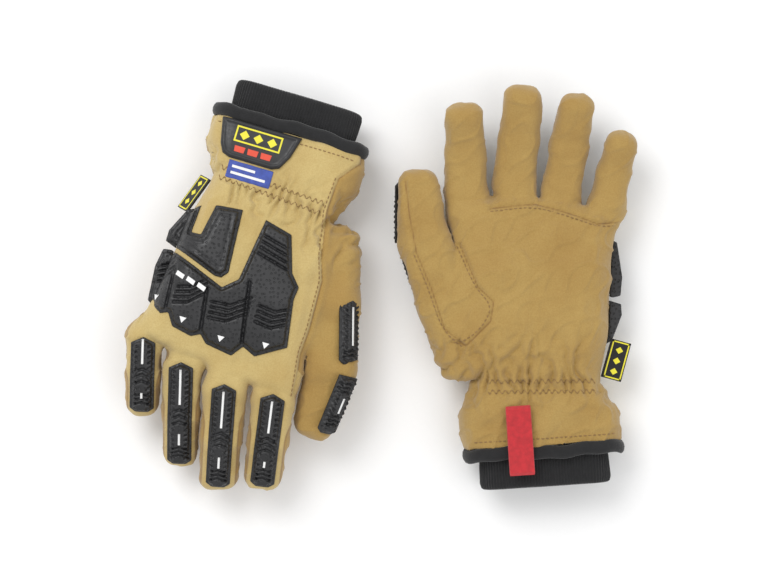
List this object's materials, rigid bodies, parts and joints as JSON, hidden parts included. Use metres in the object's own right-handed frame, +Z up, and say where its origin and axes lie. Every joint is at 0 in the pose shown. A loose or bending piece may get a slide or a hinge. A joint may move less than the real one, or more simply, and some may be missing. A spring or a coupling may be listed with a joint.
{
  "type": "pair of impact work gloves",
  "caption": "Pair of padded leather work gloves with rubber impact guards, gathered wrists and knit cuffs; fingers and thumbs bend.",
  "frame": {"origin": "middle of the pair's bounding box, on the surface it lies on", "axes": "+Z up; +X across the pair, from the palm-down right glove to the palm-up left glove; +Y the way the left glove's fingers point"},
  "size_m": [0.3468, 0.28, 0.0638],
  "materials": {
    "back_leather": "soft matte",
    "palm_leather": "soft matte",
    "lining": "fleece",
    "binding": "woven",
    "knit": "ribbed knit",
    "guard_rubber": "moulded, satin",
    "badge": "moulded, matte",
    "tag": "woven",
    "webbing": "webbing"
  },
  "bodies": {
    "left_hand": {"left_back_panel": "back_leather", "left_palm_panel": "palm_leather", "left_lining": "lining", "left_cuff_binding": "binding", "left_knit_cuff": "knit", "left_knuckle_guard": "guard_rubber", "left_hand_guard": "guard_rubber", "left_cuff_badge": "badge", "left_thumb_base": "palm_leather", "left_thumb_guard_base": "guard_rubber"},
    "left_thumb_tip": {"left_thumb_tip": "palm_leather", "left_thumb_guard_tip": "guard_rubber"},
    "left_index_base": {"left_index_base": "palm_leather", "left_index_guard_base": "guard_rubber"},
    "left_index_tip": {"left_index_tip": "palm_leather", "left_index_guard_tip": "guard_rubber"},
    "left_middle_base": {"left_middle_base": "palm_leather", "left_middle_guard_base": "guard_rubber"},
    "left_middle_tip": {"left_middle_tip": "palm_leather", "left_middle_guard_tip": "guard_rubber"},
    "left_ring_base": {"left_ring_base": "palm_leather", "left_ring_guard_base": "guard_rubber"},
    "left_ring_tip": {"left_ring_tip": "palm_leather", "left_ring_guard_tip": "guard_rubber"},
    "left_little_base": {"left_little_base": "palm_leather", "left_little_guard_base": "guard_rubber"},
    "left_little_tip": {"left_little_tip": "palm_leather", "left_little_guard_tip": "guard_rubber"},
    "left_pull_loop": {"left_pull_loop": "webbing"},
    "left_side_tag": {"left_side_tag": "tag"},
    "right_hand": {"right_back_panel": "back_leather", "right_palm_panel": "palm_leather", "right_lining": "lining", "right_cuff_binding": "binding", "right_knit_cuff": "knit", "right_knuckle_guard": "guard_rubber", "right_hand_guard": "guard_rubber", "right_cuff_badge": "badge", "right_thumb_base": "palm_leather", "right_thumb_guard_base": "guard_rubber"},
    "right_thumb_tip": {"right_thumb_tip": "palm_leather", "right_thumb_guard_tip": "guard_rubber"},
    "right_index_base": {"right_index_base": "palm_leather", "right_index_guard_base": "guard_rubber"},
    "right_index_tip": {"right_index_tip": "palm_leather", "right_index_guard_tip": "guard_rubber"},
    "right_middle_base": {"right_middle_base": "palm_leather", "right_middle_guard_base": "guard_rubber"},
    "right_middle_tip": {"right_middle_tip": "palm_leather", "right_middle_guard_tip": "guard_rubber"},
    "right_ring_base": {"right_ring_base": "palm_leather", "right_ring_guard_base": "guard_rubber"},
    "right_ring_tip": {"right_ring_tip": "palm_leather", "right_ring_guard_tip": "guard_rubber"},
    "right_little_base": {"right_little_base": "palm_leather", "right_little_guard_base": "guard_rubber"},
    "right_little_tip": {"right_little_tip": "palm_leather", "right_little_guard_tip": "guard_rubber"},
    "right_pull_loop": {"right_pull_loop": "webbing"},
    "right_side_tag": {"right_side_tag": "tag"}
  },
  "joints": [
    {"name": "left_index_knuckle", "type": "hinge", "parent": "left_hand", "child": "left_index_base", "pos_m": [0.05719, 0.06349, 0.0256], "axis": [0.9995, 0.0314, 0], "range_deg": [-8, 62], "stiffness_Nm_per_rad": 0.06},
    {"name": "left_index_middle", "type": "hinge", "parent": "left_index_base", "child": "left_index_tip", "pos_m": [0.05632, 0.0912, 0.0295], "axis": [0.9995, 0.0314, 0], "range_deg": [-20, 60], "stiffness_Nm_per_rad": 0.04},
    {"name": "left_middle_knuckle", "type": "hinge", "parent": "left_hand", "child": "left_middle_base", "pos_m": [0.08992, 0.06867, 0.0256], "axis": [0.9951, -0.0993, 0], "range_deg": [-8, 62], "stiffness_Nm_per_rad": 0.06},
    {"name": "left_middle_middle", "type": "hinge", "parent": "left_middle_base", "child": "left_middle_tip", "pos_m": [0.09297, 0.09922, 0.02991], "axis": [0.9951, -0.0993, 0], "range_deg": [-20, 60], "stiffness_Nm_per_rad": 0.04},
    {"name": "left_ring_knuckle", "type": "hinge", "parent": "left_hand", "child": "left_ring_base", "pos_m": [0.12225, 0.06481, 0.0256], "axis": [0.988, -0.1547, 0], "range_deg": [-8, 62], "stiffness_Nm_per_rad": 0.06},
    {"name": "left_ring_middle", "type": "hinge", "parent": "left_ring_base", "child": "left_ring_tip", "pos_m": [0.12684, 0.09416, 0.02977], "axis": [0.988, -0.1547, 0], "range_deg": [-20, 60], "stiffness_Nm_per_rad": 0.04},
    {"name": "left_little_knuckle", "type": "hinge", "parent": "left_hand", "child": "left_little_base", "pos_m": [0.15297, 0.05482, 0.0256], "axis": [0.9728, -0.2317, 0], "range_deg": [-8, 62], "stiffness_Nm_per_rad": 0.06},
    {"name": "left_little_middle", "type": "hinge", "parent": "left_little_base", "child": "left_little_tip", "pos_m": [0.15825, 0.07698, 0.0288], "axis": [0.9728, -0.2317, 0], "range_deg": [-20, 60], "stiffness_Nm_per_rad": 0.04},
    {"name": "left_thumb_bend", "type": "hinge", "parent": "left_hand", "child": "left_thumb_tip", "pos_m": [0.02845, 0.02851, 0.0316], "axis": [0.9965, 0.0837, 0], "range_deg": [-6, 39], "stiffness_Nm_per_rad": 0.06},
    {"name": "left_pull_loop_swing", "type": "hinge", "parent": "left_hand", "child": "left_pull_loop", "pos_m": [0.09146, -0.08276, 0.0502], "axis": [0.9978, 0.0663, 0], "range_deg": [-100, 0], "stiffness_Nm_per_rad": 0.002},
    {"name": "left_side_tag_flip", "type": "hinge", "parent": "left_hand", "child": "left_side_tag", "pos_m": [0.1497, -0.06251, 0.0256], "axis": [0.2638, 0.9646, 0], "range_deg": [-50, 15], "stiffness_Nm_per_rad": 0.001},
    {"name": "right_index_knuckle", "type": "hinge", "parent": "right_hand", "child": "right_index_base", "pos_m": [-0.07351, -0.07821, 0.04342], "axis": [0.9913, -0.1311, -0.0136], "range_deg": [-10, 60], "stiffness_Nm_per_rad": 0.06},
    {"name": "right_index_middle", "type": "hinge", "parent": "right_index_base", "child": "right_index_tip", "pos_m": [-0.07719, -0.10585, 0.04095], "axis": [0.9913, -0.1311, -0.0136], "range_deg": [-16, 64], "stiffness_Nm_per_rad": 0.04},
    {"name": "right_middle_knuckle", "type": "hinge", "parent": "right_hand", "child": "right_middle_base", "pos_m": [-0.10598, -0.07166, 0.04418], "axis": [0.9967, -0.0792, -0.0181], "range_deg": [-10, 60], "stiffness_Nm_per_rad": 0.06},
    {"name": "right_middle_middle", "type": "hinge", "parent": "right_middle_base", "child": "right_middle_tip", "pos_m": [-0.10848, -0.10243, 0.04142], "axis": [0.9967, -0.0792, -0.0181], "range_deg": [-18, 62], "stiffness_Nm_per_rad": 0.04},
    {"name": "right_ring_knuckle", "type": "hinge", "parent": "right_hand", "child": "right_ring_base", "pos_m": [-0.13503, -0.05705, 0.04117], "axis": [0.9991, -0.0358, -0.0218], "range_deg": [-10, 60], "stiffness_Nm_per_rad": 0.06},
    {"name": "right_ring_middle", "type": "hinge", "parent": "right_ring_base", "child": "right_ring_tip", "pos_m": [-0.13616, -0.0869, 0.03847], "axis": [0.9991, -0.0358, -0.0218], "range_deg": [-18, 62], "stiffness_Nm_per_rad": 0.04},
    {"name": "right_little_knuckle", "type": "hinge", "parent": "right_hand", "child": "right_little_base", "pos_m": [-0.16045, -0.03723, 0.03813], "axis": [0.9988, -0.0445, -0.0211], "range_deg": [-8, 62], "stiffness_Nm_per_rad": 0.06},
    {"name": "right_little_middle", "type": "hinge", "parent": "right_little_base", "child": "right_little_tip", "pos_m": [-0.1615, -0.06017, 0.03687], "axis": [0.9988, -0.0445, -0.0211], "range_deg": [-16, 64], "stiffness_Nm_per_rad": 0.04},
    {"name": "right_thumb_bend", "type": "hinge", "parent": "right_hand", "child": "right_thumb_tip", "pos_m": [-0.03459, -0.05599, 0.03457], "axis": [0.9537, -0.3006, 0.0015], "range_deg": [-10, 35], "stiffness_Nm_per_rad": 0.06},
    {"name": "right_pull_loop_swing", "type": "hinge", "parent": "right_hand", "child": "right_pull_loop", "pos_m": [-0.05567, 0.06825, 0.006], "axis": [0.9588, -0.284, 0], "range_deg": [-100, 0], "stiffness_Nm_per_rad": 0.002},
    {"name": "right_side_tag_flip", "type": "hinge", "parent": "right_hand", "child": "right_side_tag", "pos_m": [-0.1167, 0.07158, 0.03193], "axis": [0.581, 0.8097, -0.0824], "range_deg": [0, 70], "stiffness_Nm_per_rad": 0.001},
    {"name": "right_glove_lift", "type": "slide", "parent": "left_hand", "child": "right_hand", "axis": [0, 0, 1], "range_m": [0, 0.15]}
  ]
}
